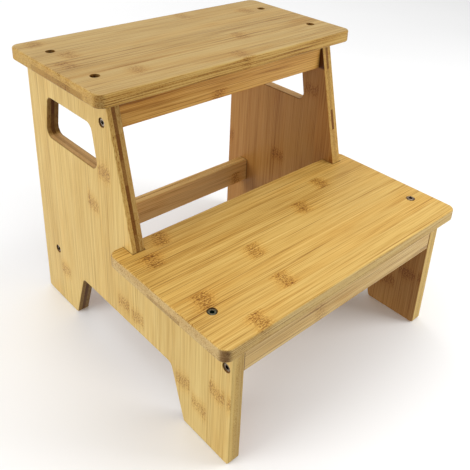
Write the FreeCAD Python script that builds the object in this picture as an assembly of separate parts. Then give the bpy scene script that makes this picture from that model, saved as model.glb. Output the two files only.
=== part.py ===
import FreeCAD, Part
import math
import os

from FreeCAD import Vector

os.makedirs("parts", exist_ok=True)

# A two-step stool of bamboo boards: two stepped side panels, two treads and three rails,
# held by hex-socket screws and wooden dowels.
# Frame: X is the width (+X right), the steps face -Y, Z is up.
# The origin is on the floor, at the middle of the stool's outline.

# ---------------------------------------------------------------- overall sizes
board = 13.5                  # thickness of every board
tread_length = 330.0          # both treads, along X
overall_depth = 330.5         # front of the lower tread to the panels' back edges
overall_height = 303.0        # floor to the top tread's face
step_height = 148.0           # floor to the lower tread's face
top_tread_depth = 164.5
side_overhang = 16.5          # the treads stand past the panels' outer faces
top_front_overhang = 16.5     # the top tread stands past the riser's top
step_front_overhang = 8.0     # the lower tread stands past the panels' front edges
tread_corner_radius = 9.0
tread_edge_round = 2.0

# ---------------------------------------------------------------- side panels
riser_lean = 35.0             # the riser's front edge runs this far forward on its way down
notch_depth = 17.0            # the lower tread reaches this far back beside the risers
notch_clearance = 0.3
arch_height = 58.0
arch_lean = 19.5              # each side of the foot arch runs out this far at the floor
front_foot_depth = 63.0
rear_foot_depth = 65.0
arch_corner_radius = 6.0
foot_corner_radius = 3.5
slot_height = 45.5            # handle slot
slot_top_length = 81.5
slot_lean = 8.8               # each end of the slot runs out this far at its bottom
slot_corner_radius = 8.5
slot_rear_shift = 1.4         # the slot sits this far behind the middle of the upper panel
slot_edge_round = 1.2
panel_edge_round = 1.0

# ---------------------------------------------------------------- rails
rail_height = 31.0
rail_setback = 0.6            # behind the panels' front edges
rail_edge_round = 1.0
stretcher_centre_height = 77.0
stretcher_back_gap = 24.25    # from the panels' back edges to the stretcher

# ---------------------------------------------------------------- screws and dowels
screw_length = 40.0
screw_head_radius = 4.1
screw_head_chamfer = 0.5
screw_head_rim = 1.2          # the rim, chamfer included, above the head's cone
screw_radius = 3.15           # outside of the thread and of the plain shank
screw_core_radius = 2.2
screw_plain_length = 9.0      # cone and plain shank under the rim
screw_point_length = 3.0
screw_point_radius = 0.4
screw_shank_runout = 0.8      # the plain shank tapers to the core over this length
thread_pitch = 3.0
thread_root_half_width = 0.75
thread_crest_half_width = 0.12
thread_root_overlap = 0.25    # the thread starts this far inside the core
hex_across_flats = 4.0
hex_depth = 2.8
screw_clearance = 0.06        # between a screw and the wood round it
bore_end_space = 0.8          # beyond the end of a screw or dowel
screw_head_gap = 0.65         # round the screw's head
top_screw_sink = 2.5          # the top tread's screw heads lie below its face
side_screw_sink = 0.9
step_screw_sink = {"left": 0.6, "right": -0.7}   # the right one stands a little proud
slot_cover = 3.5              # wood between the top screws' points and the handle slot
top_screw_rear = 41.0         # in front of the panels' back edges
top_screw_setback = 25.5      # behind the risers' tops
step_screw_setback = 34.5     # behind the panels' front edges
pin_offset = 8.0              # rail screws below, and rail dowels above, the rail's middle
dowel_radius = 3.0
dowel_length = 30.0
dowel_in_panel = 9.0
dowel_in_tread = 8.0
dowel_flutes = 12
dowel_flute_depth = 0.25
dowel_chamfer = 0.8
dowel_clearance = 0.05

# ---------------------------------------------------------------- modelling margins
cut_margin = 1.0              # a cutting solid reaches this far past the face it cuts
same_place = 0.01             # points closer than this count as the same place

# ---------------------------------------------------------------- derived places
back = overall_depth / 2
step_front = -overall_depth / 2
panel_front = step_front + step_front_overhang
panel_top = overall_height - board
shelf = step_height - board
panel_outer = tread_length / 2 - side_overhang
panel_inner = panel_outer - board
panel_middle = panel_outer - board / 2
top_front = back - top_tread_depth
riser_top = top_front + top_front_overhang
riser_foot = riser_top - riser_lean
step_back = riser_foot + notch_depth
top_screw_face = overall_height - top_screw_sink
slot_top = top_screw_face - screw_length - slot_cover
slot_bottom = slot_top - slot_height
upper_rail_front = riser_top + rail_setback
apron_front = panel_front + rail_setback
stretcher_back = back - stretcher_back_gap
top_screw_places = {"rear": back - top_screw_rear, "front": riser_top + top_screw_setback}
step_screw_y = panel_front + step_screw_setback

UP = Vector(0, 0, 1)
RIGHT = Vector(1, 0, 0)
LEFT = Vector(-1, 0, 0)


# ---------------------------------------------------------------- outlines
def rounded_wire(corners):
    """Closed wire through (point, radius) corners, with an arc at each corner of non-zero radius."""
    count = len(corners)
    starts = []
    ends = []
    middles = []
    for i in range(count):
        point, radius = corners[i]
        if radius == 0:
            starts.append(point)
            ends.append(point)
            middles.append(None)
            continue
        to_last = (corners[i - 1][0] - point).normalize()
        to_next = (corners[(i + 1) % count][0] - point).normalize()
        half_angle = to_last.getAngle(to_next) / 2
        reach = radius / math.tan(half_angle)
        bisector = (to_last + to_next).normalize()
        starts.append(point + to_last * reach)
        ends.append(point + to_next * reach)
        middles.append(point + bisector * (radius / math.sin(half_angle) - radius))
    edges = []
    for i in range(count):
        if middles[i] is not None:
            edges.append(Part.Arc(starts[i], middles[i], ends[i]).toShape())
        edges.append(Part.makeLine(ends[i], starts[(i + 1) % count]))
    return Part.Wire(edges)


def rounded_plate(corners, thickness):
    """Solid swept from a rounded outline along the thickness vector."""
    return Part.Face(rounded_wire(corners)).extrude(thickness)


def fillet_where(shape, radius, wanted):
    """Round the edges whose middle point passes the test."""
    edges = []
    for edge in shape.Edges:
        if wanted(edge.valueAt((edge.FirstParameter + edge.LastParameter) / 2)):
            edges.append(edge)
    return shape.makeFillet(radius, edges)


# ---------------------------------------------------------------- screws
def revolve(points):
    wire = Part.makePolygon(points + [points[0]])
    return Part.Face(wire).revolve(Vector(0, 0, 0), UP, 360)


def hex_prism(across_flats, low, high):
    radius = across_flats / 2 / math.cos(math.pi / 6)
    corners = []
    for i in range(7):
        angle = math.radians(60 * i)
        corners.append(Vector(radius * math.cos(angle), radius * math.sin(angle), low))
    return Part.Face(Part.makePolygon(corners)).extrude(Vector(0, 0, high - low))


def make_screw():
    """Furniture screw, head's face at the origin and its point towards -Z."""
    cone = screw_head_radius - screw_radius
    core_start = -screw_head_rim - screw_plain_length
    body = revolve([
        Vector(0, 0, 0),
        Vector(screw_head_radius - screw_head_chamfer, 0, 0),
        Vector(screw_head_radius, 0, -screw_head_chamfer),
        Vector(screw_head_radius, 0, -screw_head_rim),
        Vector(screw_radius, 0, -screw_head_rim - cone),
        Vector(screw_radius, 0, core_start),
        Vector(screw_core_radius, 0, core_start - screw_shank_runout),
        Vector(screw_core_radius, 0, -screw_length + screw_point_length),
        Vector(screw_point_radius, 0, -screw_length),
        Vector(0, 0, -screw_length),
    ])
    thread_low = -screw_length + screw_point_length + thread_pitch / 2
    thread_high = core_start - thread_pitch / 2
    helix = Part.makeHelix(thread_pitch, thread_high - thread_low, screw_core_radius)
    root = screw_core_radius - thread_root_overlap
    ridge = Part.makePolygon([
        Vector(root, 0, -thread_root_half_width),
        Vector(screw_radius, 0, -thread_crest_half_width),
        Vector(screw_radius, 0, thread_crest_half_width),
        Vector(root, 0, thread_root_half_width),
        Vector(root, 0, -thread_root_half_width),
    ])
    sweep = Part.Wire(helix).makePipeShell([ridge], True, True)
    sweep.translate(Vector(0, 0, thread_low))
    body = body.fuse(sweep)
    return body.cut(hex_prism(hex_across_flats, -hex_depth, cut_margin))


def along(shape, place, direction):
    """A copy of a shape built about +Z, turned to point along direction and moved to place."""
    turned = shape.copy()
    turned.Placement = FreeCAD.Placement(place, FreeCAD.Rotation(UP, direction))
    return turned


def screw_hole(sink):
    """The space a screw needs: a recess round its head, the cone's seat, and the shank's bore."""
    recess_radius = screw_head_radius + screw_head_gap
    bore_radius = screw_radius + screw_clearance
    seat_radius = screw_head_radius + screw_clearance
    seat_top = -screw_head_rim - screw_clearance
    seat_bottom = seat_top - (seat_radius - bore_radius)
    mouth = sink + cut_margin
    return revolve([
        Vector(0, 0, mouth),
        Vector(recess_radius, 0, mouth),
        Vector(recess_radius, 0, seat_top),
        Vector(seat_radius, 0, seat_top),
        Vector(bore_radius, 0, seat_bottom),
        Vector(bore_radius, 0, -screw_length - bore_end_space),
        Vector(0, 0, -screw_length - bore_end_space),
    ])


# ---------------------------------------------------------------- dowels
def make_dowel():
    """Fluted dowel about +Z, centred on the origin."""
    points = []
    for i in range(dowel_flutes * 2 + 1):
        angle = math.pi * i / dowel_flutes
        radius = dowel_radius - dowel_flute_depth * (i % 2)
        points.append(Vector(radius * math.cos(angle), radius * math.sin(angle), -dowel_length / 2))
    rod = Part.Face(Part.makePolygon(points)).extrude(Vector(0, 0, dowel_length))
    half = dowel_length / 2
    wide = dowel_radius + cut_margin
    cone_top = dowel_chamfer + cut_margin
    chamfered = revolve([
        Vector(0, 0, -half),
        Vector(dowel_radius - dowel_chamfer, 0, -half),
        Vector(wide, 0, -half + cone_top),
        Vector(wide, 0, half - cone_top),
        Vector(dowel_radius - dowel_chamfer, 0, half),
        Vector(0, 0, half),
    ])
    return rod.common(chamfered)


def dowel_hole():
    half = dowel_length / 2 + bore_end_space
    return Part.makeCylinder(dowel_radius + dowel_clearance, 2 * half, Vector(0, 0, -half), UP)


# ---------------------------------------------------------------- where the fasteners go
def fastener_places():
    """name -> (kind, place, outward direction) for every screw head and dowel middle."""
    places = {}
    rails = {
        "upper_rail": (upper_rail_front + board / 2, panel_top - rail_height / 2),
        "rear_stretcher": (stretcher_back - board / 2, stretcher_centre_height),
        "front_apron": (apron_front + board / 2, shelf - rail_height / 2),
    }
    for side, sign, outward in (("left", -1, LEFT), ("right", 1, RIGHT)):
        top_x = sign * panel_middle
        for end, y in top_screw_places.items():
            head = Vector(top_x, y, top_screw_face)
            places["top_tread_screw_" + side + "_" + end] = ("screw", head, UP, top_screw_sink)
        sink = step_screw_sink[side]
        head = Vector(top_x, step_screw_y, step_height - sink)
        places["lower_tread_screw_" + side] = ("screw", head, UP, sink)
        middle = Vector(top_x, (step_screw_y + riser_foot) / 2, step_height - board - dowel_length / 2)
        places["lower_tread_dowel_" + side] = ("dowel", middle + UP * dowel_in_tread, UP, 0)
        for rail, (y, z) in rails.items():
            head = Vector(sign * (panel_outer - side_screw_sink), y, z - pin_offset)
            places[rail + "_screw_" + side] = ("screw", head, outward, side_screw_sink)
            middle_x = sign * (panel_inner + dowel_in_panel - dowel_length / 2)
            places[rail + "_dowel_" + side] = ("dowel", Vector(middle_x, y, z + pin_offset), outward, 0)
    return places


FASTENERS = fastener_places()


def drilled(shape, *groups):
    """The shape with the holes of every fastener whose name starts with one of the groups."""
    for name, (kind, place, direction, sink) in FASTENERS.items():
        if not name.startswith(groups):
            continue
        hole = screw_hole(sink) if kind == "screw" else dowel_hole()
        shape = shape.cut(along(hole, place, direction))
    return shape


# ---------------------------------------------------------------- boards
def riser_depth_at(height):
    """Y of the riser's leaning front edge at a height between the step and the panel's top."""
    fraction = (panel_top - height) / (panel_top - step_height)
    return riser_top - riser_lean * fraction


def panel_outline():
    """Side view of a panel as (y, z, corner radius), from the rear foot round to the back edge."""
    arch_rear_foot = back - rear_foot_depth
    arch_front_foot = panel_front + front_foot_depth
    return [
        (back, 0, foot_corner_radius),
        (arch_rear_foot, 0, foot_corner_radius),
        (arch_rear_foot - arch_lean, arch_height, arch_corner_radius),
        (arch_front_foot + arch_lean, arch_height, arch_corner_radius),
        (arch_front_foot, 0, foot_corner_radius),
        (panel_front, 0, foot_corner_radius),
        (panel_front, shelf, 0),
        (riser_foot, shelf, 0),
        (riser_foot, step_height, 0),
        (riser_top, panel_top, 0),
        (back, panel_top, 0),
    ]


def slot_outline():
    """Side view of the handle slot, wider at its bottom."""
    middle = (riser_depth_at((slot_top + slot_bottom) / 2) + back) / 2 + slot_rear_shift
    top_half = slot_top_length / 2
    low_half = top_half + slot_lean
    return [
        (middle + low_half, slot_bottom, slot_corner_radius),
        (middle - low_half, slot_bottom, slot_corner_radius),
        (middle - top_half, slot_top, slot_corner_radius),
        (middle + top_half, slot_top, slot_corner_radius),
    ]


def side_corners(outline, x):
    return [(Vector(x, y, z), radius) for y, z, radius in outline]


def make_side_panel(side, sign):
    """Stepped panel standing between its inner and outer faces."""
    low_x = min(sign * panel_inner, sign * panel_outer)
    panel = rounded_plate(side_corners(panel_outline(), low_x), Vector(board, 0, 0))

    def is_free_face_edge(point):
        on_face = abs(abs(point.x) - panel_middle) > board / 2 - same_place
        seated = abs(point.z - panel_top) < same_place or abs(point.z - shelf) < same_place
        in_notch = abs(point.y - riser_foot) < same_place
        return on_face and not seated and not in_notch

    panel = fillet_where(panel, panel_edge_round, is_free_face_edge)
    slot = rounded_plate(side_corners(slot_outline(), low_x), Vector(board, 0, 0))
    panel = panel.cut(slot)
    slot_box = slot.BoundBox

    def is_slot_edge(point):
        on_face = abs(abs(point.x) - panel_middle) > board / 2 - same_place
        in_y = slot_box.YMin - same_place < point.y < slot_box.YMax + same_place
        in_z = slot_box.ZMin - same_place < point.z < slot_box.ZMax + same_place
        return on_face and in_y and in_z

    panel = fillet_where(panel, slot_edge_round, is_slot_edge)
    names = [name for name in FASTENERS if side in name]
    return drilled(panel, *names)


def tread_plate(low_y, high_y, low_z):
    """Board with rounded plan corners and softened long edges."""
    half = tread_length / 2
    corners = [
        (Vector(-half, low_y, low_z), tread_corner_radius),
        (Vector(half, low_y, low_z), tread_corner_radius),
        (Vector(half, high_y, low_z), tread_corner_radius),
        (Vector(-half, high_y, low_z), tread_corner_radius),
    ]
    plate = rounded_plate(corners, UP * board)

    def is_rim(point):
        return abs(point.z - low_z) < same_place or abs(point.z - low_z - board) < same_place

    return fillet_where(plate, tread_edge_round, is_rim)


def make_top_tread():
    return drilled(tread_plate(top_front, back, panel_top), "top_tread_")


def make_lower_tread():
    """Lower tread, notched at its rear edge round the two risers."""
    tread = tread_plate(step_front, step_back, shelf)
    width = board + 2 * notch_clearance
    depth = notch_depth + notch_clearance
    for sign in (-1, 1):
        corner = Vector(sign * panel_middle - width / 2, step_back - depth, shelf - cut_margin)
        tread = tread.cut(Part.makeBox(width, depth + cut_margin, board + 2 * cut_margin, corner))
    return drilled(tread, "lower_tread_")


def make_rail(front_y, low_z):
    """Board between the panels, its four long edges softened."""
    rail = Part.makeBox(2 * panel_inner, board, rail_height, Vector(-panel_inner, front_y, low_z))

    def is_long_edge(point):
        return abs(point.x) < same_place

    return fillet_where(rail, rail_edge_round, is_long_edge)


def make_upper_rail():
    return drilled(make_rail(upper_rail_front, panel_top - rail_height), "upper_rail_")


def make_rear_stretcher():
    low_z = stretcher_centre_height - rail_height / 2
    return drilled(make_rail(stretcher_back - board, low_z), "rear_stretcher_")


def make_front_apron():
    return drilled(make_rail(apron_front, shelf - rail_height), "front_apron_")


# ---------------------------------------------------------------- assembly
def save(name, shape):
    shape = shape.removeSplitter()
    solid = shape.Solids[0]
    if len(shape.Solids) != 1 or not solid.isValid():
        print("PROBLEM", name, "solids", len(shape.Solids), "valid", shape.isValid())
    box = solid.BoundBox
    low = tuple(round(v, 2) for v in (box.XMin, box.YMin, box.ZMin))
    high = tuple(round(v, 2) for v in (box.XMax, box.YMax, box.ZMax))
    print(name, "volume", round(solid.Volume), "from", low, "to", high)
    solid.exportStep("parts/" + name + ".step")


save("left_side_panel", make_side_panel("left", -1))
save("right_side_panel", make_side_panel("right", 1))
save("top_tread", make_top_tread())
save("lower_tread", make_lower_tread())
save("upper_rail", make_upper_rail())
save("rear_stretcher", make_rear_stretcher())
save("front_apron", make_front_apron())

screw = make_screw()
dowel = make_dowel()
for name, (kind, place, direction, sink) in FASTENERS.items():
    save(name, along(screw if kind == "screw" else dowel, place, direction))
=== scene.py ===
import math

import bpy
from mathutils import Matrix, Vector


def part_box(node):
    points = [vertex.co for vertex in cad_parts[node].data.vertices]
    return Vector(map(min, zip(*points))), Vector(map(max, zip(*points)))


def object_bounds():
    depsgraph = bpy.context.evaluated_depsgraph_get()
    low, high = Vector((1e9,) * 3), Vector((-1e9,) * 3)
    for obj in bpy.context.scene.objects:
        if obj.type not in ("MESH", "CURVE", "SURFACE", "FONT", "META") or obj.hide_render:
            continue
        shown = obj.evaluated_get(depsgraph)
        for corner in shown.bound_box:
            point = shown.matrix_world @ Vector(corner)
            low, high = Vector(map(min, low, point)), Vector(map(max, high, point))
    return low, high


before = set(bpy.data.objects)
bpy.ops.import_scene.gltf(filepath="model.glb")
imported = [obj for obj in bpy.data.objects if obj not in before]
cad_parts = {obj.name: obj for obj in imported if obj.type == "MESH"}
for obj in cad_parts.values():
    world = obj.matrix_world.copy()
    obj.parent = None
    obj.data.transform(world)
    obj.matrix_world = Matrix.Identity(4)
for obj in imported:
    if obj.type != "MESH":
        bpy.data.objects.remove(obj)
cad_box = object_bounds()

# The step stool's looks: bamboo boards glued up from strips, zinc-plated hex-socket screws,
# a pale floor, soft studio light and one camera. Everything is in metres in the CAD frame.

MM = 0.001
X, Y, Z = 0, 1, 2

# a mix node's sockets for numbers and for colours
NUMBER_A, NUMBER_B, NUMBER_RESULT = 2, 3, 0
COLOR_A, COLOR_B, COLOR_RESULT = 6, 7, 2

# ---------------------------------------------------------------- bamboo
STRIP = 23.5 * MM                      # width of one bamboo strip in a board's face
NO_KNOT = 900                          # in mm, past the end of every board

# a bamboo face's middle colour, and how its darkest to lightest fibres differ from it
TOP = (183, 151, 92)
STEP = (209, 171, 94)
UPPER_RAIL = (193, 148, 76)
STRETCHER = (206, 158, 92)
APRON = (209, 178, 117)
PANEL_OUTER = (211, 179, 108)
# the inner faces' own darker wood, with painted shade in it
PANEL_INNER_WOOD_AND_SHADE = (176, 126, 65)
CORE = (127, 82, 28)
SHADES = (
    (0.0, (0.36, 0.24, 0.13)),
    (0.28, (0.80, 0.70, 0.52)),
    (0.5, (1.0, 1.0, 1.0)),
    (0.72, (1.10, 1.17, 1.30)),
    (1.0, (1.20, 1.34, 1.65)),
)
BRIGHTEST = 0.95                       # no channel of a fibre's colour goes above this

# the wood's colour is multiplied by these
KNOT_TINT = (0.44, 0.28, 0.12, 1.0)    # in a knot's flecks
KNOT_GLOW = (0.94, 0.81, 0.56, 1.0)    # between the flecks
ORANGE = (1.0, 0.90, 0.72, 1.0)        # in some long stretches of fibre
STAIN = (0.93, 0.84, 0.66, 1.0)        # in warm patches of a face
TOP_EDGE = (1.0, 0.93, 0.72, 1.0)      # at sawn edges
STEP_EDGE = (0.87, 0.94, 1.24, 1.0)
PANEL_EDGE = (0.73, 0.65, 0.54, 1.0)
RAIL_EDGE = (0.90, 0.86, 0.84, 1.0)
STEP_END = (1.07, 1.12, 1.42, 1.0)     # and where such an edge is end grain
PANEL_END = (1.32, 1.31, 1.85, 1.0)
DARK_PLY = (0.74, 0.68, 0.60, 1.0)     # in a darker stretch of a tread's lower ply
INNER_PLY_SHADE = (0.82, 0.81, 0.85, 1.0)    # painted shade on the left panel's inward ply, at its sawn front
FOOT_FRONT_LIGHT = (1.30, 1.43, 1.62, 1.0)   # painted light at the front foot's sawn front
RAIL_TOP_LIGHT = (1.20, 1.44, 1.62, 1.0)     # painted light at a rail's sawn top
WALL_AND_CORNER_SHADE = (0.38, 0.30, 0.24, 1.0)       # painted shade on a panel's slot and arch walls and round the treads' end-grain corners; darker rims round the slot and arch
RECESS_SHADE = (0.42, 0.28, 0.16, 1.0)        # painted shade in a screw's recess
JOINT_SHADE = (0.22, 0.15, 0.10, 1.0)        # painted shade where one board meets another

# along a panel, from its rear edge to the front, and up from the floor
WALLS_START = 20 * MM                  # the slot and the arch begin beyond this
SLOT_END = 130 * MM
ARCH_END = 300 * MM
ARCH_TOP = 100 * MM                    # the arch lies below this, the slot above
SHELF_START = 185 * MM                 # the panel's shelf is in front of this
PALE_CORE_START = 250 * MM             # the cross ply is pale in front of this
FOOT_FRONT_START = 295 * MM

NOTCH_DEPTH = 17.3 * MM                # the lower tread's notches round the risers
NOTCH_LINE = 0.6 * MM                  # the painted shade line round them
RECESS_RADIUS = 4.8 * MM               # the recesses round the screws' heads

# how dark each strip of a panel's cross ply is, from the floor up
LEFT_CORE = (0.8, 0.9, 0.7, 0.8, 0.9, 0.6, 0.75, 0.95, 1.0, 0.8, 1.0, 0.9, 0.85)
RIGHT_CORE = (0.8, 0.9, 0.7, 0.8, 0.9, 0.6, 0.2, 0.25, 1.0, 0.25, 0.3, 0.8, 0.5)


def linear(red, green, blue):
    """A display colour (0 to 255 a channel) as scene-linear red, green, blue, alpha."""
    channels = []
    for value in (red, green, blue):
        share = value / 255
        channels.append(share / 12.92 if share <= 0.04045 else ((share + 0.055) / 1.055) ** 2.4)
    return (*channels, 1.0)


class Shader:
    """A material's node tree, put together from sums of sockets and numbers."""

    def __init__(self, name):
        self.material = bpy.data.materials.new(name)
        self.material.use_nodes = True
        self.nodes = self.material.node_tree.nodes
        self.links = self.material.node_tree.links
        self.surface = self.nodes["Principled BSDF"]

    def feed(self, socket, value):
        if isinstance(value, bpy.types.NodeSocket):
            self.links.new(value, socket)
        else:
            socket.default_value = value

    def math(self, operation, *values):
        node = self.nodes.new("ShaderNodeMath")
        node.operation = operation
        for socket, value in zip(node.inputs, values):
            self.feed(socket, value)
        return node.outputs[0]

    def add(self, a, b):
        return self.math("ADD", a, b)

    def scale(self, a, b):
        return self.math("MULTIPLY", a, b)

    def invert(self, value):
        """1 minus a value."""
        return self.math("SUBTRACT", 1.0, value)

    def about_zero(self, value, amount):
        """A 0-to-1 value, spread over plus and minus amount."""
        return self.math("MULTIPLY_ADD", value, 2 * amount, -amount)

    def total(self, *values):
        result = values[0]
        for value in values[1:]:
            result = self.add(result, value)
        return result

    def parts(self, vector):
        """A vector's x, y and z."""
        node = self.nodes.new("ShaderNodeSeparateXYZ")
        self.links.new(vector, node.inputs[0])
        return node.outputs

    def vector(self, x, y, z):
        node = self.nodes.new("ShaderNodeCombineXYZ")
        for socket, value in zip(node.inputs, (x, y, z)):
            self.feed(socket, value)
        return node.outputs[0]

    def noise(self, x, y, z, detail=2.0, roughness=0.5):
        node = self.nodes.new("ShaderNodeTexNoise")
        node.inputs["Scale"].default_value = 1.0
        node.inputs["Detail"].default_value = detail
        node.inputs["Roughness"].default_value = roughness
        self.feed(node.inputs["Vector"], self.vector(x, y, z))
        return node.outputs["Fac"]

    def random(self, x, y, z):
        node = self.nodes.new("ShaderNodeTexWhiteNoise")
        node.noise_dimensions = "3D"
        self.feed(node.inputs["Vector"], self.vector(x, y, z))
        return node.outputs["Value"]

    def smooth(self, value, low, high):
        """0 at low, 1 at high, with a soft start and end; low may be the larger."""
        node = self.nodes.new("ShaderNodeMapRange")
        node.interpolation_type = "SMOOTHSTEP"
        self.feed(node.inputs["Value"], value)
        node.inputs["From Min"].default_value = low
        node.inputs["From Max"].default_value = high
        return node.outputs["Result"]

    def past(self, value, place, blur):
        """1 where a value is past a place, with a soft change from blur before to blur after."""
        return self.smooth(value, place - blur, place + blur)

    def short_of(self, value, place, blur):
        """1 where a value is short of a place, with the same soft change."""
        return self.smooth(value, place + blur, place - blur)

    def mix(self, factor, a, b, blend="MIX"):
        """The colour a where factor is 0 and b, or a blended with b, where it is 1."""
        node = self.nodes.new("ShaderNodeMix")
        node.data_type = "RGBA"
        node.blend_type = blend
        self.feed(node.inputs["Factor"], factor)
        self.feed(node.inputs[COLOR_A], a)
        self.feed(node.inputs[COLOR_B], b)
        return node.outputs[COLOR_RESULT]

    def choose(self, factor, a, b):
        """The number a where factor is 0 and b where it is 1."""
        node = self.nodes.new("ShaderNodeMix")
        self.feed(node.inputs["Factor"], factor)
        self.feed(node.inputs[NUMBER_A], a)
        self.feed(node.inputs[NUMBER_B], b)
        return node.outputs[NUMBER_RESULT]

    def ramp(self, value, stops, interpolation="LINEAR"):
        node = self.nodes.new("ShaderNodeValToRGB")
        node.color_ramp.interpolation = interpolation
        elements = node.color_ramp.elements
        while len(elements) < len(stops):
            elements.new(0.5)
        for element, (position, color) in zip(elements, stops):
            element.position = position
            element.color = color
        self.feed(node.inputs[0], value)
        return node.outputs[0]

    def lookup(self, index, values, unit):
        """The entry of a list that a whole-number socket points at, times unit."""
        largest = 1000                 # a ramp holds colours, so its entries stay below 1
        stops = []
        for i, value in enumerate(values):
            share = value / largest
            stops.append((i / len(values), (share, share, share, 1.0)))
        place = self.math("DIVIDE", self.add(index, 0.5), len(values))
        return self.scale(self.ramp(place, stops, "CONSTANT"), largest * unit)

    def finish(self, color, roughness, height, bump_distance, bump_strength):
        self.feed(self.surface.inputs["Base Color"], color)
        self.feed(self.surface.inputs["Roughness"], roughness)
        bump = self.nodes.new("ShaderNodeBump")
        bump.inputs["Strength"].default_value = bump_strength
        bump.inputs["Distance"].default_value = bump_distance
        self.feed(bump.inputs["Height"], height)
        self.feed(self.surface.inputs["Normal"], bump.outputs["Normal"])
        return self.material


class Board(Shader):
    """Bamboo board: strips side by side, fine fibres along them, and the cane's knots.

    u runs along the grain and v across the strips, in metres from the board's edges, and w
    runs through the thickness from 0 to 1. sawn is 1 on the board's cut edges, and end_grain
    on those across the grain."""

    def __init__(self, name, node, axes, seed, from_high=False, strip_shift=0.0, core=None, split=0.5):
        """axes are the ones that u, v and w follow, and from_high counts v from the high side.

        core is the share of the thickness, low and high, taken by a cross ply, and split
        is where in the thickness the lower ply ends."""
        super().__init__(name)
        self.grain, self.across, self.through = axes
        self.seed = seed
        self.core = core
        self.low, self.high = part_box(node)
        place = self.nodes.new("ShaderNodeTexCoord")
        self.axes = self.parts(place.outputs["Object"])
        self.facing = self.parts(place.outputs["Normal"])

        self.u = self.add(self.axes[self.grain], -self.low[self.grain])
        if from_high:
            self.v = self.math("SUBTRACT", self.high[self.across], self.axes[self.across])
        else:
            self.v = self.add(self.axes[self.across], -self.low[self.across])
        self.deep = self.add(self.axes[self.through], -self.low[self.through])
        self.w = self.math("DIVIDE", self.deep, self.high[self.through] - self.low[self.through])
        self.flatness = self.math("ABSOLUTE", self.facing[self.through])
        self.sawn = self.smooth(self.flatness, 0.85, 0.45)
        self.to_end = self.math("ABSOLUTE", self.facing[self.grain])
        self.end_grain = self.smooth(self.to_end, 0.75, 0.95)
        self.upper = self.math("GREATER_THAN", self.w, split)
        if core:
            self.in_core = self.between(self.w, *core)
        self.cut_strips(strip_shift)

    def between(self, value, first, last):
        return self.scale(self.math("GREATER_THAN", value, first), self.math("LESS_THAN", value, last))

    def tint(self, factor, color):
        self.color = self.mix(factor, self.color, color, "MULTIPLY")

    def tones(self, middle):
        """The wood's colour, from its dark fibres to its light ones."""
        base = linear(*middle)
        stops = []
        for position, shade in SHADES:
            channels = [min(BRIGHTEST, part * share) for part, share in zip(base, shade)]
            stops.append((position, (*channels, 1.0)))
        return self.ramp(self.tone, stops)

    def cut_strips(self, shift):
        """Finds which strip a point lies in, and how far it is from a seam."""
        wander = self.noise(self.scale(self.u, 5), self.scale(self.v, 20), self.seed)
        place = self.math("DIVIDE", self.total(self.v, self.about_zero(wander, 0.8 * MM), shift), STRIP)
        self.strip = self.math("FLOOR", place)
        in_strip = self.math("FRACT", place)
        self.to_seam = self.scale(self.math("MINIMUM", in_strip, self.invert(in_strip)), STRIP)
        self.strip_tone = self.random(self.strip, self.upper, self.seed)
        seam_depth = self.smooth(self.random(self.strip, 7.0, self.seed), 0.2, 0.9)
        self.seam = self.scale(self.short_of(self.to_seam, 0.45 * MM, 0.35 * MM), seam_depth)

    def grow_knots(self, knots, more_knots=(), strength=1.0):
        """Ragged bands of dark flecks across the strips, with paler wood to each side.

        knots and more_knots give, for each strip, how far along the grain its knots lie, in mm."""
        to_knot = self.math("SUBTRACT", self.u, self.lookup(self.strip, knots, MM))
        if more_knots:
            second = self.math("SUBTRACT", self.u, self.lookup(self.strip, more_knots, MM))
            nearer = self.math("LESS_THAN", self.math("ABSOLUTE", second), self.math("ABSOLUTE", to_knot))
            to_knot = self.choose(nearer, to_knot, second)
        bow = self.noise(self.scale(self.u, 12), self.scale(self.v, 75),
                         self.add(self.strip_tone, self.seed))
        from_band = self.math("ABSOLUTE", self.add(to_knot, self.about_zero(bow, 8 * MM)))
        allowed = self.scale(self.past(self.to_seam, 1.6 * MM, 1.4 * MM), self.invert(self.end_grain))
        if self.core:
            allowed = self.scale(allowed, self.invert(self.sawn))
        self.band = self.scale(self.short_of(from_band, 6 * MM, 4 * MM), allowed)
        self.halo = self.scale(self.short_of(from_band, 11 * MM, 7 * MM), allowed)
        flecks = self.noise(self.scale(self.u, 400), self.scale(self.v, 900),
                            self.add(self.scale(self.deep, 600), self.seed), detail=3.0, roughness=0.8)
        self.dark_flecks = self.scale(self.smooth(flecks, 0.46, 0.60), self.band)
        self.stray_flecks = self.scale(self.smooth(flecks, 0.54, 0.62), self.halo)
        self.pale_flecks = self.scale(self.smooth(flecks, 0.48, 0.38), self.halo)
        self.knot_strength = strength

    def grow_fibres(self):
        """Fibres swerve round a knot, and run the other way in a cross ply."""
        swerve = self.noise(self.scale(self.u, 70), self.scale(self.v, 60), self.seed + 8.0)
        run = self.u
        side = self.add(self.v, self.scale(self.about_zero(swerve, 2.5 * MM), self.halo))
        if self.core:
            run, side = self.choose(self.in_core, run, side), self.choose(self.in_core, side, run)

        def fibres(along, width, shift, detail=2.0):
            """Streaks; along and width are how often they change in a metre."""
            return self.noise(self.add(self.scale(run, along), self.scale(self.strip_tone, 9)),
                              self.scale(side, width),
                              self.add(self.scale(self.deep, width), self.seed + shift),
                              detail=detail, roughness=0.6)

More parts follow.
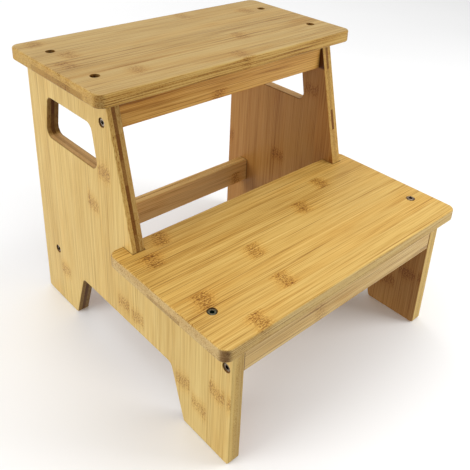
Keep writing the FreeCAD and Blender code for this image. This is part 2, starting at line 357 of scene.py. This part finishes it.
        self.broad = fibres(2.5, 60, 20.0, 1.0)
        self.coarse = fibres(8, 700, 0.0, 3.0)
        self.fine = fibres(16, 1400, 5.0)
        bands = fibres(4, 200, 15.0, 1.0)
        dark_lines = self.smooth(fibres(5, 900, 11.0, 1.0), 0.54, 0.66)
        pale_lines = self.smooth(fibres(6, 820, 13.0, 1.0), 0.54, 0.66)
        self.streaks = self.total(
            self.about_zero(self.strip_tone, 0.11),
            self.about_zero(self.broad, 0.18),
            self.about_zero(bands, 0.16),
            self.about_zero(self.coarse, 0.58),
            self.about_zero(self.fine, 0.64),
            self.scale(dark_lines, -0.23),
            self.scale(pale_lines, 0.24),
            self.scale(self.seam, -0.12),
        )

    def set_tone(self, contrast, edge_contrast, shade_at_start=0.0):
        """How light each point is, 0.5 in the middle. The last argument paints shade over the grain's first
        80 mm, at the board's left end.
        """
        calmer_ends = self.add(1.0, self.scale(self.end_grain, -0.4))
        self.contrast = self.scale(self.choose(self.sawn, contrast, edge_contrast), calmer_ends)
        pores = self.noise(self.scale(self.u, 800), self.scale(self.v, 800), self.scale(self.deep, 1500),
                           detail=1.0)
        self.tone = self.total(
            0.5,
            self.scale(self.streaks, self.contrast),
            self.scale(self.band, -0.12 * self.knot_strength),
            self.scale(self.pale_flecks, 0.30 * self.knot_strength),
            self.scale(self.stray_flecks, -0.22 * self.knot_strength),
            self.scale(self.about_zero(pores, 0.30), self.sawn),
            self.scale(self.short_of(self.u, 80 * MM, 80 * MM), -shade_at_start),
        )

    def stain_wood(self):
        """Orange stretches, warm patches, and the knots' own colours."""
        self.tint(self.scale(self.smooth(self.broad, 0.45, 0.70), self.scale(self.contrast, 0.6)), ORANGE)
        patches = self.noise(self.scale(self.u, 11), self.scale(self.v, 30), self.seed + 40.0)
        self.tint(self.scale(self.smooth(patches, 0.52, 0.72), self.scale(self.contrast, 0.75)), STAIN)
        self.tint(self.scale(self.halo, 0.75 * self.knot_strength), KNOT_GLOW)
        self.tint(self.scale(self.dark_flecks, 0.90 * self.knot_strength), KNOT_TINT)

    def color_and_shade_inner_face(self, inward):
        """A panel's face on the inward side, +1 or -1, in its own darker colour with painted shade in it."""
        self.inner = self.math("GREATER_THAN", self.scale(self.facing[self.through], inward), 0.6)
        self.color = self.mix(self.inner, self.color, self.tones(PANEL_INNER_WOOD_AND_SHADE))

    def color_core(self, strips):
        """A panel's cross ply; strips tells how dark its strips are."""
        strip = self.math("FLOOR", self.scale(self.u, 1 / STRIP))
        behind_foot = self.short_of(self.v, PALE_CORE_START, 5 * MM)
        darkness = self.scale(self.lookup(strip, strips, 1.0), self.add(0.25, self.scale(behind_foot, 0.75)))
        darkness = self.scale(darkness, self.add(1.0, self.scale(self.end_grain, -0.6)))
        self.color = self.mix(self.scale(self.in_core, darkness), self.color, self.tones(CORE))

    def darken_lower_ply(self, first, last):
        """A darker stretch of the lower ply, between two places across the strips."""
        patch = self.between(self.v, first, last)
        self.tint(self.scale(patch, self.invert(self.upper)), DARK_PLY)

    def shade_slot_and_arch_walls(self):
        """Painted shade on the upright walls of a panel's slot and arch, and darker rims round them."""
        furthest = self.choose(self.math("LESS_THAN", self.u, ARCH_TOP), SLOT_END, ARCH_END)
        walls = self.between(self.v, WALLS_START, furthest)
        sideways = self.math("ABSOLUTE", self.facing[self.across])
        upright = self.scale(self.smooth(sideways, 0.3, 0.9), self.scale(self.sawn, 0.65))
        rim = self.scale(self.scale(self.flatness, self.invert(self.flatness)), 3.0)
        self.tint(self.scale(walls, self.math("MAXIMUM", upright, rim)), WALL_AND_CORNER_SHADE)

    def shade_panel_joints(self):
        """Painted shade: dark lines under both treads, and a dark corner in front of the upper rail."""
        rail_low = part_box("upper_rail")[0]
        above = self.past(self.u, rail_low[Z] - self.low[Z], 1.5 * MM)
        in_front = self.past(self.v, self.high[Y] - rail_low[Y] - 0.9 * MM, 1.0 * MM)
        self.tint(self.scale(self.scale(above, in_front), self.inner), JOINT_SHADE)

        lines = []
        for tread in ("top_tread", "lower_tread"):
            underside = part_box(tread)[0][Z] - self.low[Z]
            lines.append(self.past(self.u, underside - 1.2 * MM, 0.7 * MM))
        under_top, under_step = lines
        under_step = self.scale(under_step, self.math("GREATER_THAN", self.v, SHELF_START))
        self.tint(self.scale(self.math("MAXIMUM", under_top, under_step), 0.7), JOINT_SHADE)

    def paint_panel_front_light_and_shade(self, shade_inner_ply):
        # painted shade on the left panel's inward ply, and painted light on the front feet's sawn fronts
        forward = self.smooth(self.facing[self.across], -0.5, -0.9)
        if shade_inner_ply:
            inner_ply = self.math("GREATER_THAN", self.w, self.core[1])
            self.tint(self.scale(inner_ply, forward), INNER_PLY_SHADE)
        foot = self.past(self.v, FOOT_FRONT_START, 5 * MM)
        self.tint(self.scale(foot, forward), FOOT_FRONT_LIGHT)

    def paint_rail_light_and_shade(self):
        """A rail's top, lighter with painted light, and its ends, darker with painted shade where it meets
        the panels.
        """
        length = self.high[self.grain] - self.low[self.grain]
        to_panel = self.math("MINIMUM", self.u, self.math("SUBTRACT", length, self.u))
        self.tint(self.short_of(to_panel, 0.65 * MM, 0.35 * MM), JOINT_SHADE)
        self.tint(self.smooth(self.facing[self.across], 0.5, 0.9), RAIL_TOP_LIGHT)

    def shade_notch_outlines(self):
        """A dark line of painted shade where the risers pass through the lower tread's notches."""
        panel_low, panel_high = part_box("right_side_panel")
        middle = (panel_low[X] + panel_high[X]) / 2
        half = (panel_high[X] - panel_low[X]) / 2 + NOTCH_LINE
        from_middle = self.math("ABSOLUTE", self.add(self.math("ABSOLUTE", self.axes[X]), -middle))
        notch_front = self.high[Y] - NOTCH_DEPTH - NOTCH_LINE
        outside = self.math("MAXIMUM", self.add(from_middle, -half),
                            self.math("SUBTRACT", notch_front, self.axes[Y]))
        self.tint(self.short_of(outside, -0.05 * MM, 0.25 * MM), JOINT_SHADE)

    def shade_recesses(self, screws):
        """Painted shade in the recesses round the screws whose heads lie in this board."""
        for screw in screws:
            low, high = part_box(screw)
            offsets = [self.add(self.axes[axis], -(low[axis] + high[axis]) / 2)
                       for axis in (self.grain, self.across)]
            squares = [self.scale(offset, offset) for offset in offsets]
            from_axis = self.math("POWER", self.total(*squares), 0.5)
            self.tint(self.short_of(from_axis, RECESS_RADIUS, 0.2 * MM), RECESS_SHADE)

    def shade_end_grain_corners(self, strength):
        """Dark end grain round the board's vertical corners, partly its own colour and partly painted shade.
        """
        sideways = self.math("ABSOLUTE", self.facing[self.across])
        corner = self.smooth(self.scale(self.to_end, sideways), 0.02, 0.50)
        self.tint(self.scale(self.scale(corner, self.sawn), strength), WALL_AND_CORNER_SHADE)

    def lacquer(self):
        """A satin coat over fibres, knots and seams that can just be felt."""
        wander = self.noise(self.scale(self.u, 9), self.scale(self.v, 30), self.seed + 31.0)
        roughness = self.total(0.42, self.about_zero(wander, 0.07), self.about_zero(self.fine, 0.06),
                               self.scale(self.sawn, 0.12))
        height = self.total(self.scale(self.coarse, 0.5), self.scale(self.fine, 0.5),
                            self.scale(self.dark_flecks, -0.5), self.scale(self.seam, -0.8))
        self.surface.inputs["IOR"].default_value = 1.46
        self.surface.inputs["Specular IOR Level"].default_value = 0.3
        return self.finish(self.color, roughness, height, bump_distance=0.1 * MM, bump_strength=0.5)


def lower_tread_bamboo():
    board = Board("lower_tread_bamboo", "lower_tread", (X, Y, Z), 1.0, from_high=True,
                  strip_shift=-1.2 * MM, split=0.40)
    board.grow_knots((51, 26, 200, 109, 25, 100, 46),
                     (NO_KNOT, 254, NO_KNOT, NO_KNOT, NO_KNOT, NO_KNOT, NO_KNOT), strength=0.9)
    board.grow_fibres()
    # painted shade over the tread's left end
    board.set_tone(contrast=0.80, edge_contrast=0.9, shade_at_start=0.10)
    board.color = board.tones(STEP)
    board.stain_wood()
    board.tint(board.sawn, STEP_EDGE)
    board.tint(board.end_grain, STEP_END)
    board.darken_lower_ply(62 * MM, 108 * MM)
    board.shade_notch_outlines()
    board.shade_recesses(("lower_tread_screw_left", "lower_tread_screw_right"))
    board.shade_end_grain_corners(1.0)
    return board.lacquer()


def top_tread_bamboo():
    board = Board("top_tread_bamboo", "top_tread", (X, Y, Z), 2.0, from_high=True,
                  strip_shift=-1.6 * MM, split=0.54)
    board.grow_knots((19, 285, 33, 16, 212, 61, 169),
                     (205, NO_KNOT, NO_KNOT, NO_KNOT, NO_KNOT, NO_KNOT, NO_KNOT), strength=0.6)
    board.grow_fibres()
    board.set_tone(contrast=1.0, edge_contrast=1.6)
    board.color = board.tones(TOP)
    board.stain_wood()
    board.tint(board.sawn, TOP_EDGE)
    board.darken_lower_ply(46 * MM, 140 * MM)
    board.shade_recesses(["top_tread_screw_" + corner
                          for corner in ("left_rear", "left_front", "right_rear", "right_front")])
    board.shade_end_grain_corners(0.5)
    return board.lacquer()


def panel_bamboo(side, inward, seed, knots, core_strips):
    """A side panel's board, with a dark cross ply in the middle of its thickness."""
    board = Board(side + "_panel_bamboo", side + "_side_panel", (Z, Y, X), seed, from_high=True,
                  strip_shift=12.6 * MM, core=(0.34, 0.62))
    board.grow_knots(knots, strength=0.8)
    board.grow_fibres()
    board.set_tone(contrast=0.7, edge_contrast=0.7)
    board.color = board.tones(PANEL_OUTER)
    board.color_and_shade_inner_face(inward)
    board.color_core(core_strips)
    board.stain_wood()
    board.tint(board.sawn, PANEL_EDGE)
    board.tint(board.end_grain, PANEL_END)
    board.shade_slot_and_arch_walls()
    board.shade_panel_joints()
    board.paint_panel_front_light_and_shade(shade_inner_ply=side == "left")
    board.shade_recesses([rail + "_screw_" + side
                          for rail in ("upper_rail", "rear_stretcher", "front_apron")])
    return board.lacquer()


def rail_bamboo(rail, seed, middle, knot, strip_shift, shade_at_start=0.0, knot_strength=1.0):
    board = Board(rail + "_bamboo", rail, (X, Z, Y), seed, strip_shift=strip_shift)
    board.grow_knots((knot, NO_KNOT), strength=knot_strength)
    board.grow_fibres()
    board.set_tone(contrast=1.0, edge_contrast=1.0, shade_at_start=shade_at_start)
    board.color = board.tones(middle)
    board.stain_wood()
    board.tint(board.sawn, RAIL_EDGE)
    board.paint_rail_light_and_shade()
    return board.lacquer()


def dress(node, material):
    """Gives a CAD node's object a material in place of its own."""
    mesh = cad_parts[node].data
    mesh.materials.clear()
    mesh.materials.append(material)


def dress_boards():
    dress("lower_tread", lower_tread_bamboo())
    dress("top_tread", top_tread_bamboo())
    left_knots = (NO_KNOT, NO_KNOT, 47, NO_KNOT, NO_KNOT, 170, 214, 76, 74, NO_KNOT, NO_KNOT, 49, 37, 74)
    right_knots = (119, 60, NO_KNOT, NO_KNOT, 124, NO_KNOT, 231, 70, 150, 40, 110, 125, 37, 62)
    dress("left_side_panel", panel_bamboo("left", 1, 3.0, left_knots, LEFT_CORE))
    dress("right_side_panel", panel_bamboo("right", -1, 4.0, right_knots, RIGHT_CORE))
    # painted shade over the upper rail's left end
    dress("upper_rail", rail_bamboo("upper_rail", 5.0, UPPER_RAIL, 118, 12 * MM, shade_at_start=0.16))
    dress("rear_stretcher", rail_bamboo("rear_stretcher", 6.0, STRETCHER, 250, 4 * MM))
    dress("front_apron", rail_bamboo("front_apron", 7.0, APRON, 94, 2 * MM, knot_strength=0.4))


# ---------------------------------------------------------------- screws and dowels
PLATE = ((0.32, linear(142, 130, 114)), (0.5, linear(198, 178, 154)), (0.66, linear(220, 198, 170)))
GRIT = linear(80, 74, 62)
SHADE_BROWN = linear(46, 34, 24)
TOP_SCREW_SHADE = (0.55, SHADE_BROWN)      # how much painted shade covers the head, from 0 to 1, and its colour
# painted shade with a painted reflection of the wood, on the side screws
SIDE_SCREW_SHADE = (0.35, SHADE_BROWN)
SCREW_TINT_AND_SHADE = {
    "lower_tread_screw_left": (0.65, linear(34, 78, 62)),      # greenish
    "lower_tread_screw_right": (0.20, linear(104, 56, 44)),    # reddish, a painted reflection of the wood round it
    # painted shade under the lower tread's overhang
    "front_apron_screw_left": (0.65, SHADE_BROWN),
}
DEEPEST_SHADE = 0.95                       # how much painted shade there is in the socket and round the head


def zinc(node, axis, head_high, shade_and_tint, shade_and_tint_color):
    """Dulled zinc plate, patchy, and dark with painted shade in the socket and round the head's edge.

    axis is the screw's, and head_high tells at which end of it the head is. The last two arguments lay a
    colour over the whole head: painted shade on the top and side screws, with a painted reflection of the
    wood in it on the side ones, a greenish plate on the lower tread's left screw, and a painted reflection
    of the wood on its right one."""
    s = Shader("zinc_" + node)
    low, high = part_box(node)
    axes = s.parts(s.nodes.new("ShaderNodeTexCoord").outputs["Object"])
    if head_high:
        depth = s.math("SUBTRACT", high[axis], axes[axis])
    else:
        depth = s.add(axes[axis], -low[axis])
    x, y, z = (s.scale(part, 450) for part in (axes[0], axes[1], axes[2]))
    blotch = s.noise(x, y, z, detail=3.0)
    grit = s.noise(s.scale(x, 6), s.scale(y, 6), s.scale(z, 6), detail=2.0)
    color = s.mix(s.scale(s.smooth(grit, 0.55, 0.75), 0.4), s.ramp(blotch, PLATE), GRIT)
    sunk = s.past(depth, 0.6 * MM, 0.4 * MM)
    color = s.mix(s.add(shade_and_tint, s.scale(sunk, DEEPEST_SHADE - shade_and_tint)), color, shade_and_tint_color)
    s.surface.inputs["Metallic"].default_value = 1.0
    roughness = s.total(0.27, s.about_zero(blotch, 0.12), s.about_zero(grit, 0.08), s.scale(sunk, 0.3))
    return s.finish(color, roughness, grit, bump_distance=0.04 * MM, bump_strength=0.35)


def beech():
    """Plain wood with short flecks, for the dowels."""
    s = Shader("beech")
    x, y, z = s.parts(s.nodes.new("ShaderNodeTexCoord").outputs["Object"])
    grain = s.noise(s.scale(x, 60), s.scale(y, 900), s.scale(z, 900), detail=3.0)
    fleck = s.smooth(s.noise(s.scale(x, 400), s.scale(y, 1500), s.scale(z, 1500)), 0.6, 0.7)
    color = s.ramp(grain, [(0.3, linear(190, 150, 105)), (0.7, linear(222, 188, 142))])
    color = s.mix(s.scale(fleck, 0.5), color, linear(150, 105, 66))
    return s.finish(color, s.total(0.62, s.about_zero(grain, 0.1)), grain, bump_distance=0.1 * MM,
                    bump_strength=0.4)


def dress_fasteners():
    dowel_material = beech()
    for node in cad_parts:
        if "_dowel_" in node:
            dress(node, dowel_material)
        elif node.startswith("top_tread_screw"):
            dress(node, zinc(node, Z, True, *TOP_SCREW_SHADE))
        elif node.startswith("lower_tread_screw"):
            dress(node, zinc(node, Z, True, *SCREW_TINT_AND_SHADE[node]))
        elif "_screw_" in node:
            shade_and_tint = SCREW_TINT_AND_SHADE.get(node, SIDE_SCREW_SHADE)
            dress(node, zinc(node, X, node.endswith("right"), *shade_and_tint))


# ---------------------------------------------------------------- studio
FLOOR_REACH = 6.0                  # the floor's edges are this far from the stool


def make_floor():
    mesh = bpy.data.meshes.new("floor")
    corners = [(x * FLOOR_REACH, y * FLOOR_REACH, 0) for x, y in ((-1, -1), (1, -1), (1, 1), (-1, 1))]
    mesh.from_pydata(corners, [], [(0, 1, 2, 3)])
    floor = bpy.data.objects.new("floor", mesh)
    floor.location.z = cad_box[0].z
    bpy.context.scene.collection.objects.link(floor)
    s = Shader("floor_white")
    x, y, z = s.parts(s.nodes.new("ShaderNodeTexCoord").outputs["Object"])
    cloud = s.noise(s.scale(x, 1.5), s.scale(y, 1.5), z)
    color = s.ramp(cloud, [(0.3, (0.90, 0.90, 0.90, 1)), (0.7, (0.93, 0.93, 0.93, 1))])
    s.surface.inputs["Specular IOR Level"].default_value = 0.1
    mesh.materials.append(s.finish(color, 0.9, cloud, bump_distance=0.1 * MM, bump_strength=0.1))
    floor.visible_diffuse = False          # so that it doesn't light the undersides


def softbox(name, place, size, power):
    """A square lamp, aimed at the stool's middle."""
    light = bpy.data.lights.new(name, "AREA")
    light.shape = "SQUARE"
    light.size = size
    light.energy = power
    lamp = bpy.data.objects.new(name, light)
    lamp.location = place
    middle = (cad_box[0] + cad_box[1]) / 2
    lamp.rotation_euler = (middle - Vector(place)).to_track_quat("-Z", "Y").to_euler()
    bpy.context.scene.collection.objects.link(lamp)
    return lamp


def make_lights():
    """Soft light from all round; only the overhead lamp shows in the lacquer's gloss."""
    softbox("overhead", (0.2, 0.1, 2.6), 3.6, 37)
    for name, place, size, power in (("left_rear", (-2.2, 0.6, 0.9), 1.4, 35),
                                     ("right_front", (0.75, -0.80, 0.55), 0.6, 7.5),
                                     ("rear_high", (0.8, 2.2, 1.2), 1.4, 9)):
        softbox(name, place, size, power).visible_glossy = False
    world = bpy.data.worlds.new("studio")
    world.use_nodes = True
    background = world.node_tree.nodes["Background"]
    background.inputs["Color"].default_value = (1, 1, 1, 1)
    background.inputs["Strength"].default_value = 0.48
    bpy.context.scene.world = world
    settings = bpy.context.scene.view_settings
    settings.view_transform = "Standard"
    settings.look = "None"
    settings.exposure = 0.0


# ---------------------------------------------------------------- camera
CAMERA_PLACE = (-0.4141, -0.4309, 0.5088)
CAMERA_AZIMUTH = -43.227           # 0 looks along +Y
CAMERA_ELEVATION = 26.394
CAMERA_ROLL = 2.530
CAMERA_LENS = 49.34                # mm on a 36 mm sensor
CAMERA_SHIFT_Y = -0.20             # the view is the lower part of a taller picture


def make_camera():
    azimuth, elevation, roll = (math.radians(a) for a in (CAMERA_AZIMUTH, CAMERA_ELEVATION, CAMERA_ROLL))
    back = Vector((math.sin(azimuth) * math.cos(elevation),
                   -math.cos(azimuth) * math.cos(elevation),
                   math.sin(elevation)))
    right = Vector((math.cos(azimuth), math.sin(azimuth), 0))
    up = back.cross(right)
    rolled_right = right * math.cos(roll) + up * math.sin(roll)
    rolled_up = up * math.cos(roll) - right * math.sin(roll)
    turn = Matrix((rolled_right, rolled_up, back)).transposed().to_4x4()
    data = bpy.data.cameras.new("camera")
    data.sensor_width = 36.0
    data.lens = CAMERA_LENS
    data.shift_y = CAMERA_SHIFT_Y
    data.clip_start = 0.01
    camera = bpy.data.objects.new("camera", data)
    camera.matrix_world = Matrix.Translation(CAMERA_PLACE) @ turn
    bpy.context.scene.collection.objects.link(camera)
    bpy.context.scene.camera = camera


dress_boards()
dress_fasteners()
make_floor()
make_lights()
make_camera()

bpy.context.view_layer.update()
